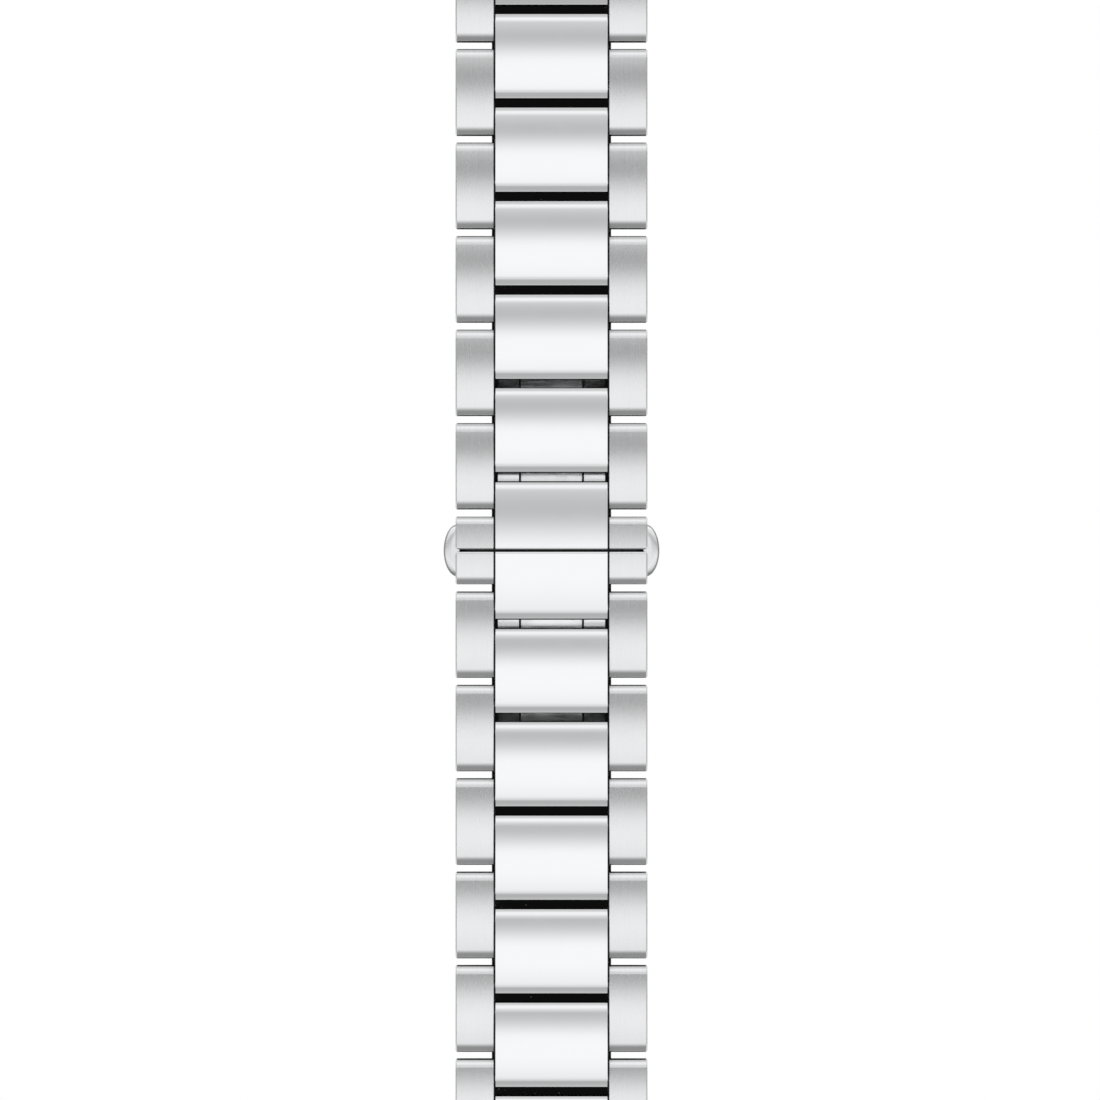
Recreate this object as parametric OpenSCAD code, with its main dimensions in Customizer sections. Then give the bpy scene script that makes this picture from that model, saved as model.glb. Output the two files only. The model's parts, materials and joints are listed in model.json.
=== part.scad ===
// Three-link steel watch bracelet with a hidden butterfly clasp and two push buttons.
// The bracelet lies flat, outer face up: Z = 0 is the table and Y runs along the bracelet.
// The upper half is drawn, and the lower half is its mirror image about the split of the clasp.

/* [Bracelet] */
// Width across the three columns of links
bracelet_w = 20; // [19:0.5:22]
// Width of one brushed outer link
outer_w = 4; // [4:0.1:4.5]
// Distance from one link to the next in the same column
pitch = 9.75; // [9.6:0.05:10.2]
// Gap between two outer links
outer_gap = 0.75; // [0.75:0.05:0.85]
// Gap between two polished centre links
centre_gap = 0.85; // [0.85:0.05:0.95]
// Thickness of an outer link
outer_t = 3; // [3:0.05:3.2]
// Height of the centre column above the outer ones
centre_rise = 0.25; // [0.1:0.05:0.4]
// Distance from the end of a centre link to its hinge pin
hinge_inset = 1.65; // [1.6:0.05:1.7]

/* [Pins] */
// Diameter of the hinge pins
pin_d = 1; // [0.9:0.05:1.05]
// Running clearance round a turning or sliding round piece
fit = 0.03; // [0.02:0.01:0.04]

/* [Clasp] */
// Gap at the split between the two clasp covers
split_gap = 0.25; // [0.2:0.05:0.3]
// Length of a polished cover centre
cover_len = 7.1; // [7:0.05:7.3]
// Length of the brushed cover sides
cover_side_len = 3.4; // [3.4:0.05:3.5]
// Distance between the two outer hinges of the clasp
base_span = 39; // [38.6:0.2:40]
// Thickness of the blades
blade_t = 1; // [0.9:0.05:1]
// Diameter of the blade barrels round the outer hinges
barrel_d = 2.2; // [2:0.05:2.2]
// Width of each side blade
rail_w = 2.2; // [2:0.1:2.2]
// Height of the covers' underside above the table
clasp_h = 4.3; // [4.3:0.05:4.6]

/* [Buttons] */
// Width of a push button along the bracelet
button_w = 5.5; // [5:0.1:5.5]
// How far a push button stands out of the side
button_out = 1.25; // [1:0.05:1.5]
// How far a push button can be pressed
button_travel = 0.6; // [0.5:0.05:0.6]

/* [Spring bars] */
// Diameter of the spring bar's tube
bar_d = 1.8; // [1.6:0.1:1.8]
// Diameter of the tip that goes into the watch lug
tip_d = 0.84; // [0.8:0.02:0.9]
// How far a tip stands out of the bracelet's side
tip_out = 0.9; // [0.8:0.1:1.1]

/* [Hidden] */
$fn = 64;
SIDES = ["upper", "lower"];
HANDS = ["left", "right"];
links = 6;
polished = [0.87, 0.88, 0.89];
brushed = [0.72, 0.73, 0.75];
inner_steel = [0.6, 0.61, 0.63];
eps = 0.01;
far = 20;

// Columns of links
side_clear = 0.12;
half_w = bracelet_w / 2;
outer_in = half_w - outer_w;
outer_mid = half_w - outer_w / 2;
centre_w = 2 * (outer_in - side_clear);
centre_t = outer_t + centre_rise;
pin_r = pin_d / 2;
pin_h = 1.5;
pin_short = 0.1;
end_bevel = 0.48;
end_slope = 33;
edge_bevel = 0.16;
split_bevel = 0.18;
split_corner_r = 0.35;
foot_r = 0.5;
outer_crown_r = 44;
centre_crown_r = 26;
cover_rise = 0.12;
cover_centre_crown_r = 42;
cover_side_crown_r = 62;

// Lengths of the links, and where their pins lie
outer_len = pitch - outer_gap;
centre_len = pitch - centre_gap;
centre_span = centre_len - 2 * hinge_inset;
outer_span = pitch - centre_span;
cover_start = split_gap / 2;
cover_end = cover_start + cover_len;
first_hinge = cover_end - hinge_inset;
outer_back = first_hinge - (cover_start + cover_side_len + outer_gap);

// Blades: the middle one and the side ones curve from the clasp's centre down to its outer hinges
base_y = base_span / 2;
barrel_r = barrel_d / 2;
blade_clear = 0.2;
blade_inset = 0.4;
rail_out = outer_in - blade_inset;
rail_in = rail_out - rail_w;
tongue_half = rail_in - blade_clear;
tongue_w = 2 * tongue_half;
rail_mid = rail_in + rail_w / 2;
rail_mid_z = clasp_h - 0.5;
tongue_mid_z = 2.3;
cover_pin_y = 1.7;
knuckle_r = 0.85;
crossbar_y = 8.4;
crossbar_len = 1.6;
crossbar_thin = 0.2;
cover_pin_z = arc_z(cover_pin_y, rail_mid_z);

// Push buttons, their housings on the bridge, and the catches of the covers
plate_z = clasp_h + 0.7;
plate_t = 0.8;
plate_half = 2.1;
plate_in = half_w - 3;
catch_grip = 0.35;
catch_t = 0.5;
catch_y = 0.55;
catch_w = 0.95;
catch_lip_h = 0.45;
slide_clear = 0.05;
catch_clear = 0.1;
catch_lift = 0.3;
pad_drop = 0.6;
housing_in = outer_in + 0.1;
housing_out = half_w - 1.1;
housing_half = 2.6;
housing_top = clasp_h + 2;
beam_half = 0.7;
beam_slot = 0.85;
beam_top = clasp_h + 1.8;
spring_r = 0.4;
spring_wire_r = 0.1;
spring_turns = 6;
spring_steps = 12;
spring_sides = 6;
spring_in = plate_in - 3.8;
spring_z = plate_z + plate_t / 2;
window_in = plate_in + 0.7;
window_out = window_in + button_travel + catch_t + 0.2;
catch_x = window_in + catch_clear;
roof_z = housing_top + 0.1;
wall_y = housing_half + 0.12;
head_in = housing_out + button_travel + 0.1;
button_h = 1.85;
head_low = clasp_h + 0.6;
head_high = head_low + button_h;
head_clear = 0.1;

// End links and spring bars
end_len = 9;
end_foot_r = 1.2;
bar_y = end_len - outer_back - 1.6;
bar_r = bar_d / 2;
bar_clear = 0.05;
bar_half = half_w - 0.2;
tip_r = tip_d / 2;
shaft_r = bar_r - 0.3;
tip_bore_r = bar_r - 0.16;
tip_collar = 0.95;
tip_lip = 0.3;
tip_travel = 0.9;
tip_spring_room = 2.85;
tip_deep = tip_lip + tip_collar + tip_travel + tip_spring_room;

// Rest pose: the bracelet is straight and level, as it was photographed. Hinge i has the pieces
// of the chain in turn before and after it, the first of them the clasp cover and an outer link.
hinge_z = clasp_h + pin_h;
function span(i) = i % 2 == 1 ? outer_span : centre_span;
function hinge_y(i) = i == 1 ? first_hinge : hinge_y(i - 1) + span(i - 1);

// Radius and height of a blade's middle line, which passes the outer hinge, and mid_z at the centre
function arc_r(mid_z) = (base_y ^ 2 + (mid_z - barrel_r) ^ 2) / (2 * (mid_z - barrel_r));
function arc_z(y, mid_z) = mid_z - arc_r(mid_z) + sqrt(arc_r(mid_z) ^ 2 - y ^ 2);

function side_nodes(side) = concat(
    [for (name = ["arm", "cover_pin", "cover_centre", "cover_sides"]) str(side, "_", name)],
    [for (k = [1:links], name = ["outer_links_", "link_pins_", "centre_link_"]) str(side, "_", name, k)],
    [for (name = ["end_link", "end_pin", "spring_bar"]) str(side, "_", name)],
    [for (hand = HANDS) str(side, "_bar_tip_", hand)]
);

NODES = concat(
    ["bridge", "bridge_pins"],
    [for (hand = HANDS) str("button_", hand)],
    [for (hand = HANDS) str("button_spring_", hand)],
    side_nodes("upper"),
    side_nodes("lower")
);
node = "all";

function shown(name) = node == "all" || node == name;

// Turns a side view, drawn as [along the bracelet, height], into a solid of the given width
module across(width) {
    rotate([90, 0, 90]) linear_extrude(width, center = true) children();
}

// A round bar or bore across the bracelet, centred at x
module bar_across(r, length, x = 0) {
    translate([x, 0, 0]) rotate([0, 90, 0]) cylinder(r = r, h = length, center = true);
}

module box(x, y, z) {
    translate([x[0], y[0], z[0]]) cube([x[1] - x[0], y[1] - y[0], z[1] - z[0]]);
}

// Repeats a piece of the right side on the left side
module both_hands() {
    children();
    mirror([1, 0, 0]) children();
}

module on_side(side) {
    if (side == "upper") children();
    else mirror([0, 1, 0]) children();
}

module on_hand(hand) {
    if (hand == "right") children();
    else mirror([1, 0, 0]) children();
}

// Puts a piece of the chain, drawn about its first pin, in its place in the rest pose
module in_chain(i) {
    translate([0, hinge_y(i), hinge_z]) children();
}

// Side view of a link from y0 to y1: bevelled at heights z0 and z1 at its upper ends, rounded below
module link_side(y0, y1, t, z0, z1, bevel0, bevel1, foot0, foot1) {
    difference() {
        union() {
            translate([y0 + foot0, 0]) square([y1 - y0 - foot0 - foot1, t]);
            translate([y0, foot0]) square([foot0 + eps, t - foot0]);
            translate([y1 - foot1 - eps, foot1]) square([foot1 + eps, t - foot1]);
            if (foot0 > 0) translate([y0 + foot0, foot0]) circle(foot0);
            if (foot1 > 0) translate([y1 - foot1, foot1]) circle(foot1);
        }
        bevel_cut(y0, z0, bevel0, end_slope);
        bevel_cut(y1, z1, bevel1, 90 - end_slope);
    }
}

// Waste above a bevel that runs back from the end at y, under height z
module bevel_cut(y, z, bevel, turn) {
    if (bevel > 0) translate([y, z - bevel * tan(end_slope)]) rotate(turn) square(3 * bevel);
}

// Large disc across the bracelet with bevelled rims: its top gives a link its crown and long bevels
module crown(r, width) {
    half = width / 2;
    rotate([0, 90, 0]) rotate_extrude($fn = 180) polygon([
        [0, -half], [r - edge_bevel, -half], [r, edge_bevel - half],
        [r, half - edge_bevel], [r - edge_bevel, half], [0, half]]);
}

// A link whose underside is at z = 0, and whose crown is highest at its middle or at top_y
module link_block(y0, y1, width, t, crown_r, bevel0, bevel1, foot0, foot1, top_y = undef) {
    summit = is_undef(top_y) ? (y0 + y1) / 2 : top_y;
    z0 = t - crown_r + sqrt(crown_r ^ 2 - (y0 - summit) ^ 2);
    z1 = t - crown_r + sqrt(crown_r ^ 2 - (y1 - summit) ^ 2);
    intersection() {
        across(width) link_side(y0, y1, t, z0, z1, bevel0, bevel1, foot0, foot1);
        translate([0, summit, t - crown_r]) crown(crown_r, width);
    }
}

// Two brushed outer links, which hold the ends of both pins
module outer_links() {
    color(brushed) difference() {
        for (x = [-outer_mid, outer_mid]) translate([x, 0, -pin_h])
            link_block(-outer_back, outer_len - outer_back, outer_w, outer_t, outer_crown_r,
                end_bevel, end_bevel, foot_r, foot_r);
        bar_across(pin_r, bracelet_w + 1);
        translate([0, outer_span, 0]) bar_across(pin_r, bracelet_w + 1);
    }
}

module link_pins() {
    color(inner_steel) for (y = [0, outer_span]) translate([0, y, 0])
        bar_across(pin_r, bracelet_w - 2 * pin_short);
}

// A polished centre link, which turns on the pins
module centre_link() {
    color(polished) difference() {
        translate([0, 0, -pin_h])
            link_block(-hinge_inset, centre_len - hinge_inset, centre_w, centre_t, centre_crown_r,
                end_bevel, end_bevel, foot_r, foot_r);
        for (y = [0, centre_span]) translate([0, y, 0]) bar_across(pin_r + fit, centre_w + 1);
    }
}

// The last piece straddles the last centre link and holds the spring bar
module end_link() {
    body_start = centre_len - hinge_inset - centre_span + centre_gap;
    end_y = end_len - outer_back;
    color(brushed) difference() {
        union() {
            for (x = [-outer_mid, outer_mid]) translate([x, 0, -pin_h])
                link_block(-outer_back, end_y, outer_w, outer_t, outer_crown_r, end_bevel, end_bevel, foot_r, end_foot_r);
            translate([0, 0, -pin_h])
                link_block(body_start, end_y, 2 * outer_in + 2 * eps, outer_t, outer_crown_r,
                    end_bevel, end_bevel, foot_r, end_foot_r);
            translate([0, 0, -pin_h])
                link_block(body_start, end_y - end_bevel, centre_w, centre_t, centre_crown_r,
                    end_bevel, end_bevel, foot_r, end_foot_r);
        }
        bar_across(pin_r, bracelet_w + 1);
        translate([0, bar_y, 0]) bar_across(bar_r + bar_clear, bracelet_w + 1);
    }
}

module end_pin() {
    color(inner_steel) bar_across(pin_r, bracelet_w - 2 * pin_short);
}

// Tube of the spring bar, bored from both ends, with a lip that keeps each tip in
module spring_bar() {
    color(inner_steel) translate([0, bar_y, 0]) difference() {
        bar_across(bar_r, 2 * bar_half);
        both_hands() {
            bar_across(shaft_r + fit, 1, bar_half);
            bar_across(tip_bore_r, tip_deep - tip_lip, bar_half - tip_lip - (tip_deep - tip_lip) / 2);
        }
    }
}

module bar_tip() {
    collar_out = bar_half - tip_lip;
    color(inner_steel) translate([0, bar_y, 0]) union() {
        bar_across(tip_r, tip_out + eps, half_w + (tip_out - eps) / 2);
        bar_across(shaft_r, half_w - collar_out + eps, (half_w + collar_out - eps) / 2);
        bar_across(tip_bore_r - fit, tip_collar, collar_out - tip_collar / 2);
    }
}

// Side view of a curved blade from y0 to y1
module blade_side(y0, y1, mid_z, thin = 0) {
    r = arc_r(mid_z);
    intersection() {
        translate([0, mid_z - r]) difference() {
            circle(r + blade_t / 2, $fn = 360);
            circle(r - blade_t / 2 + thin, $fn = 360);
        }
        translate([y0, 0]) square([y1 - y0, 2 * clasp_h]);
    }
}

// Base of the clasp: the middle blade, a cross beam at its centre and a button housing at each side
module bridge() {
    color(polished) difference() {
        union() {
            across(tongue_w) union() {
                blade_side(-base_y, base_y, tongue_mid_z);
                for (y = [-base_y, base_y]) translate([y, barrel_r]) circle(barrel_r);
            }
            box([-housing_in - eps, housing_in + eps], [-beam_half, beam_half], [tongue_mid_z, beam_top]);
            both_hands() button_housing();
        }
        for (y = [-base_y, base_y]) translate([0, y, barrel_r]) bar_across(pin_r, tongue_w + 1);
        both_hands() translate([0, 0, spring_z]) bar_across(
            spring_r + slide_clear, housing_in + 0.4 - spring_in, (housing_in + 0.4 + spring_in) / 2);
    }
}

// Guides the button's plate and lets the covers' catches down beside it
module button_housing() {
    difference() {
        box([housing_in, housing_out], [-housing_half, housing_half], [clasp_h - 0.6, housing_top]);
        box([housing_in + 0.2, housing_out + 1], [-plate_half - slide_clear, plate_half + slide_clear],
            [plate_z - slide_clear, plate_z + plate_t + slide_clear]);
        for (side = SIDES) on_side(side)
            box([catch_x - catch_grip - 2 * catch_clear, catch_x + catch_t + 1.5 * catch_clear],
                [catch_y - catch_clear, catch_y + catch_w + catch_lift], [clasp_h, housing_top + 1]);
    }
}

module bridge_pins() {
    color(inner_steel) for (y = [-base_y, base_y]) translate([0, y, barrel_r])
        bar_across(pin_r, 2 * (rail_out - pin_short));
}

// Two side blades and their crossbar, which fold over the middle blade
module arm() {
    color(polished) difference() {
        union() {
            both_hands() translate([rail_mid, 0, 0]) across(rail_w) union() {
                blade_side(cover_pin_y, base_y, rail_mid_z);
                translate([cover_pin_y, cover_pin_z]) circle(knuckle_r);
                translate([base_y, barrel_r]) circle(barrel_r);
            }
            across(2 * rail_in + 2 * eps)
                blade_side(crossbar_y, crossbar_y + crossbar_len, rail_mid_z, crossbar_thin);
        }
        translate([0, base_y, barrel_r]) bar_across(pin_r + fit, 2 * far);
        translate([0, cover_pin_y, cover_pin_z]) bar_across(pin_r, 2 * far);
    }
}

module cover_pin() {
    color(inner_steel) translate([0, cover_pin_y, cover_pin_z])
        bar_across(pin_r, 2 * (rail_out - pin_short));
}

// Polished middle of a clasp cover, with the lug that turns on the arm's pin. Both covers share
// one crown, which is highest at the split.
module cover_centre() {
    lug_half = rail_in - side_clear;
    pad_end = cover_start + cover_side_len;
    slot_top = cover_pin_z + knuckle_r + 0.17;
    color(polished) difference() {
        union() {
            translate([0, 0, clasp_h]) link_block(cover_start, cover_end, centre_w,
                centre_t + cover_rise, cover_centre_crown_r, split_bevel, end_bevel, 0, foot_r, 0);
            box([-outer_in, outer_in], [cover_start, pad_end], [slot_top, clasp_h + outer_t - pad_drop]);
            across(2 * lug_half) union() {
                translate([cover_pin_y, cover_pin_z]) circle(knuckle_r - 0.05);
                translate([cover_pin_y - knuckle_r + 0.05, cover_pin_z])
                    square([2 * knuckle_r - 0.1, clasp_h + 1 - cover_pin_z]);
            }
        }
        box([-far, far], [-1, beam_slot], [clasp_h - 1, beam_top + 0.1]);
        both_hands() box([lug_half, far], [-1, cover_end + 1], [clasp_h - 1, slot_top]);
        translate([0, cover_pin_y, cover_pin_z]) bar_across(pin_r + fit, 2 * far);
        translate([0, first_hinge, hinge_z]) bar_across(pin_r + fit, 2 * far);
    }
}

// Rounds the outer corner of a cover side at the split
module split_corner_cut() {
    x = half_w - split_corner_r;
    y = cover_start + split_corner_r;
    difference() {
        box([x, far], [cover_start - 1, y], [clasp_h - 1, clasp_h + outer_t + 1]);
        translate([x, y, clasp_h - 2]) cylinder(r = split_corner_r, h = outer_t + 4);
    }
}

// Brushed sides of a clasp cover: hollow over the housings, with a catch and a notch for the button
module cover_sides() {
    side_end = cover_start + cover_side_len;
    color(brushed) both_hands() union() {
        difference() {
            translate([outer_mid, 0, clasp_h]) link_block(cover_start, side_end, outer_w,
                outer_t + cover_rise, cover_side_crown_r, split_bevel, end_bevel, 0, foot_r, 0);
            box([outer_in - 1, housing_out + 0.1], [-1, wall_y], [clasp_h - 1, roof_z]);
            box([housing_out, far], [-1, button_w / 2 + head_clear],
                [head_low - head_clear, head_high + head_clear]);
            split_corner_cut();
        }
        box([catch_x, catch_x + catch_t], [catch_y, catch_y + catch_w],
            [plate_z - catch_clear - catch_lip_h, roof_z + eps]);
        box([catch_x - catch_grip - catch_clear, catch_x + eps], [catch_y, catch_y + catch_w],
            [plate_z - catch_clear - catch_lip_h, plate_z - catch_clear]);
    }
}

// Push button at the right side: rounded head, and a plate whose windows hold the two catches
module button() {
    head_end = half_w + button_out;
    corner_r = 2;
    bow_r = 5;
    round_r = 2.4;
    head_mid = (head_low + head_high) / 2;
    color(polished) union() {
        intersection() {
            translate([0, 0, head_low]) linear_extrude(head_high - head_low) intersection() {
                union() {
                    translate([head_in, -button_w / 2]) square([head_end - corner_r - head_in, button_w]);
                    translate([head_in, corner_r - button_w / 2])
                        square([head_end - head_in, button_w - 2 * corner_r]);
                    for (y = [corner_r - button_w / 2, button_w / 2 - corner_r])
                        translate([head_end - corner_r, y]) circle(corner_r);
                }
                translate([head_end - bow_r, 0]) circle(bow_r, $fn = 120);
                translate([head_in, -button_w]) square([head_end - head_in, 2 * button_w]);
            }
            translate([head_end - round_r, 0, head_mid]) rotate([90, 0, 0])
                cylinder(r = round_r, h = button_w + 1, center = true);
        }
        difference() {
            box([plate_in, head_in + eps], [-plate_half, plate_half], [plate_z, plate_z + plate_t]);
            for (side = SIDES) on_side(side)
                box([window_in, window_out], [catch_y - catch_clear, catch_y + catch_w + catch_lift],
                    [plate_z - 1, plate_z + plate_t + 1]);
        }
    }
}

// Coil spring that pushes the right button outwards: a round wire wound about a line along X
module button_spring() {
    rings = spring_turns * spring_steps;
    coil_r = spring_r - spring_wire_r;
    length = plate_in - spring_in - 2 * spring_wire_r;
    points = [for (i = [0:rings], j = [0:spring_sides - 1])
        let (turn = 360 * i / spring_steps, round = 360 * j / spring_sides)
        let (reach = coil_r + spring_wire_r * cos(round))
        [spring_wire_r * (1 + sin(round)) + length * i / rings, reach * cos(turn), reach * sin(turn)]];
    walls = [for (i = [0:rings - 1], j = [0:spring_sides - 1])
        let (a = i * spring_sides + j, b = i * spring_sides + (j + 1) % spring_sides)
        [a, b, b + spring_sides, a + spring_sides]];
    ends = [[for (j = [spring_sides - 1:-1:0]) j], [for (j = [0:spring_sides - 1]) rings * spring_sides + j]];
    color(inner_steel) translate([spring_in, 0, spring_z])
        polyhedron(points = points, faces = concat(walls, ends));
}

if (shown("bridge")) bridge();
if (shown("bridge_pins")) bridge_pins();
for (hand = HANDS) {
    if (shown(str("button_", hand))) on_hand(hand) button();
    if (shown(str("button_spring_", hand))) on_hand(hand) button_spring();
}
for (side = SIDES) on_side(side) {
    if (shown(str(side, "_arm"))) arm();
    if (shown(str(side, "_cover_pin"))) cover_pin();
    if (shown(str(side, "_cover_centre"))) cover_centre();
    if (shown(str(side, "_cover_sides"))) cover_sides();
    for (k = [1:links]) {
        if (shown(str(side, "_outer_links_", k))) in_chain(2 * k - 1) outer_links();
        if (shown(str(side, "_link_pins_", k))) in_chain(2 * k - 1) link_pins();
        if (shown(str(side, "_centre_link_", k))) in_chain(2 * k) centre_link();
    }
    in_chain(2 * links + 1) {
        if (shown(str(side, "_end_link"))) end_link();
        if (shown(str(side, "_end_pin"))) end_pin();
        if (shown(str(side, "_spring_bar"))) spring_bar();
        for (hand = HANDS) if (shown(str(side, "_bar_tip_", hand))) on_hand(hand) bar_tip();
    }
}
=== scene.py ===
# %% [markdown]
# # A steel watch bracelet, dressed piece by piece
# The frame below is the exact CAD model. This lesson gives the pieces that the eye meets (links, clasp covers,
# buttons) finer meshes with rounded edges, and gives every piece a steel finish of its own.

# %% Load the frame
import json
import math
import random

import bmesh
import bpy
import numpy as np
from mathutils import Matrix, Vector


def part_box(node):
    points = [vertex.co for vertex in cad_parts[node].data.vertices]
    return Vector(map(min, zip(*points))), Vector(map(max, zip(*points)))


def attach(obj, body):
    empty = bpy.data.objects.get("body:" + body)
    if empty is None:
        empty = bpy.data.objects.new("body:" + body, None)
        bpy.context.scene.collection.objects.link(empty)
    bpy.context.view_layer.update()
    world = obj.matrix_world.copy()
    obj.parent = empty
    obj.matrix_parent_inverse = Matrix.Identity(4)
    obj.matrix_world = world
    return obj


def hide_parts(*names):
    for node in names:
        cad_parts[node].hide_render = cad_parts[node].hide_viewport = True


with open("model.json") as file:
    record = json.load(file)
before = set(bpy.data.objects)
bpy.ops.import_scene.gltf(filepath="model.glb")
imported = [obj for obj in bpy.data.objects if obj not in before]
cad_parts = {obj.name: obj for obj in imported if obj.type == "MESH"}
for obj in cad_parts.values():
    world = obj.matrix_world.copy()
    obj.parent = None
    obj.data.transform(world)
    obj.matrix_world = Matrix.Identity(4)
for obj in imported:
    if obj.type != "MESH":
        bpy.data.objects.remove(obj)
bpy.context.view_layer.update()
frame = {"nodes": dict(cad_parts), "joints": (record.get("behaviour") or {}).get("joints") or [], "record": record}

MM = 0.001

# %% [markdown]
# ## The camera
# The bracelet is seen straight from above, its length upright in the picture and its ends cut
# off by the frame. A long lens from one metre away keeps the links almost free of perspective.
# The lens is chosen so that 114.6 mm of the bracelet fill the width of the sensor.

# %% Camera
VIEW_LENGTH = 114.58
EYE_HEIGHT = 1000.0
CLASP_TOP = 7.4
PICTURE_CENTRE = (-0.156, 0.05)
SENSOR = 36.0
NEAREST_SEEN = 0.05

camera_data = bpy.data.cameras.new("overhead_camera")
camera_data.sensor_width = SENSOR
camera_data.lens = SENSOR * EYE_HEIGHT / VIEW_LENGTH
camera_data.clip_start = NEAREST_SEEN
camera = bpy.data.objects.new("overhead_camera", camera_data)
camera.location = Vector((*PICTURE_CENTRE, EYE_HEIGHT + CLASP_TOP)) * MM
bpy.context.scene.collection.objects.link(camera)
bpy.context.scene.camera = camera
print("lens", round(camera_data.lens, 1), "mm")

# %% [markdown]
# ## Where the links are
# The joints of the frame say where every hinge pin lies, and the boxes of the level links next
# to the clasp say how far a link reaches before and behind its first pin. Reading them here
# means that no size is typed twice.

# %% Read the hinge places and the link sizes
LINKS = 6
LAST_HINGE = 2 * LINKS + 1
joints = {j["name"]: j for j in frame["joints"]}


def hinge_place(i):
    """Place of hinge i of the upper half, in millimetres."""
    return Vector(joints[f"upper_hinge_{i}"]["pos_m"]) / MM


def tilt_after(i):
    """Downward slope of the piece between hinge i and the next one, in radians."""
    if i == LAST_HINGE:
        return 0.0
    step = hinge_place(i + 1) - hinge_place(i)
    return math.atan2(-step.z, step.y)


def box_mm(node):
    """Lowest and highest corner of a CAD node, in millimetres."""
    low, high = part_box(node)
    return low / MM, high / MM


def reach(node, i):
    """(start, end, underside, top) of a level piece, measured from hinge i."""
    low, high = box_mm(node)
    at = hinge_place(i)
    return low.y - at.y, high.y - at.y, low.z - at.z, high.z - at.z


outer_reach = reach("upper_outer_links_1", 1)
centre_reach = reach("upper_centre_link_1", 2)
end_reach = reach("upper_end_link", LAST_HINGE)
HALF_WIDTH = box_mm("upper_outer_links_1")[1].x
CENTRE_HALF = box_mm("upper_centre_link_1")[1].x
OUTER_WIDTH = 4.0
OUTER_MID = HALF_WIDTH - OUTER_WIDTH / 2
outer_span = (hinge_place(2) - hinge_place(1)).length
centre_span = (hinge_place(3) - hinge_place(2)).length
print("outer link", [round(v, 3) for v in outer_reach])
print("centre link", [round(v, 3) for v in centre_reach])

# %% [markdown]
# ## A link as a lofted bar
# A link is a short bar with a crowned top, a bevel at each upper end, and rounded lower ends. Its
# side view is one closed line. Drawing that line at four places across the width, and making it
# a little lower and shorter in the first and last, gives the narrow bevels along the link. The
# top is the lower of three curves, the crown and the two bevels. A smooth minimum rolls one over
# into the other, because polishing never leaves a hard line there, and a round edge leads from
# each bevel down to the end wall. A lofted skin is better here than a scaled box, because the
# mirror finish shows every change of slope.

# %% Draw the side view of a link
CROWN_STEPS = 40
ROLL_STEPS = 16
FOOT_STEPS = 10
BEVEL_ANGLE = math.radians(33)
END_SLOPE = math.tan(BEVEL_ANGLE)
ROLL_SHARE = 0.42
EDGE_SHARE = 0.6
EDGE_STEPS = 4


def smooth_low(a, b, roll):
    """The lower of a and b, rolled over where they are closer than roll."""
    close = max(roll - abs(a - b), 0) / roll
    return min(a, b) - close * close * roll / 4


def side_view(y0, y1, low, top, crown_r, drop, bevel0, bevel1, foot0, foot1, summit):
    """Closed line (y, z) of a link between y0 and y1, with its top lowered by drop."""
    centre_z = top - crown_r

    def crown(y):
        return centre_z + math.sqrt(crown_r**2 - (y - summit) ** 2)

    def height(y):
        first = crown(y0) - (bevel0 - (y - y0)) * END_SLOPE
        last = crown(y1) - (bevel1 - (y1 - y)) * END_SLOPE
        rolled = smooth_low(crown(y), first, bevel0 * ROLL_SHARE)
        return smooth_low(rolled, last, bevel1 * ROLL_SHARE) - drop

    def foot(y, turn0, r_foot, inward):
        if r_foot == 0:
            return [(y, low)]
        middle = y + inward * r_foot
        spots = [math.radians(turn0 + 90 * k / FOOT_STEPS) for k in range(FOOT_STEPS + 1)]
        return [(middle + r_foot * math.cos(a), low + r_foot + r_foot * math.sin(a)) for a in spots]

    def edge(y, r_edge, inward):
        """Round edge between the end wall and its bevel, from the wall upwards."""
        centre = height(y) + r_edge * END_SLOPE - r_edge / math.cos(BEVEL_ANGLE)
        spots = [(math.pi / 2 - BEVEL_ANGLE) * k / EDGE_STEPS for k in range(EDGE_STEPS)]
        return [(y + inward * r_edge * (1 - math.cos(a)), centre + r_edge * math.sin(a)) for a in spots]

    r0, r1 = bevel0 * EDGE_SHARE, bevel1 * EDGE_SHARE
    edge_share = 1 - math.sin(BEVEL_ANGLE)
    start, stop = y0 + r0 * edge_share, y1 - r1 * edge_share
    zone0, zone1 = y0 + 2 * bevel0, y1 - 2 * bevel1
    along = [stop + (zone1 - stop) * k / ROLL_STEPS for k in range(ROLL_STEPS)]
    along += [zone1 + (zone0 - zone1) * k / CROWN_STEPS for k in range(CROWN_STEPS)]
    along += [zone0 + (start - zone0) * k / ROLL_STEPS for k in range(ROLL_STEPS + 1)]
    line = foot(y0, 180, foot0, 1) + foot(y1, 270, foot1, -1) + edge(y1, r1, -1)
    return line + [(y, height(y)) for y in along] + edge(y0, r0, 1)[::-1]


# %% Skin a row of side views
def skin(name, sections):
    """Mesh through sections [(x, line)], closed by its two end faces. Millimetres."""
    mesh, count = bpy.data.meshes.new(name), len(sections[0][1])
    points = [(x, y, z) for x, line in sections for y, z in line]
    faces = [list(range(count))[::-1], [len(points) - count + i for i in range(count)]]
    for k in range(len(sections) - 1):
        a, b = k * count, (k + 1) * count
        for i in range(count):
            j = (i + 1) % count
            faces.append([a + i, a + j, b + j, b + i])
    mesh.from_pydata(points, [], faces)
    return mesh


INNER_BEVEL = 0.05
LONG_BEVEL = 0.14
END_BEVEL = 0.48
FOOT_R = 0.5


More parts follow.
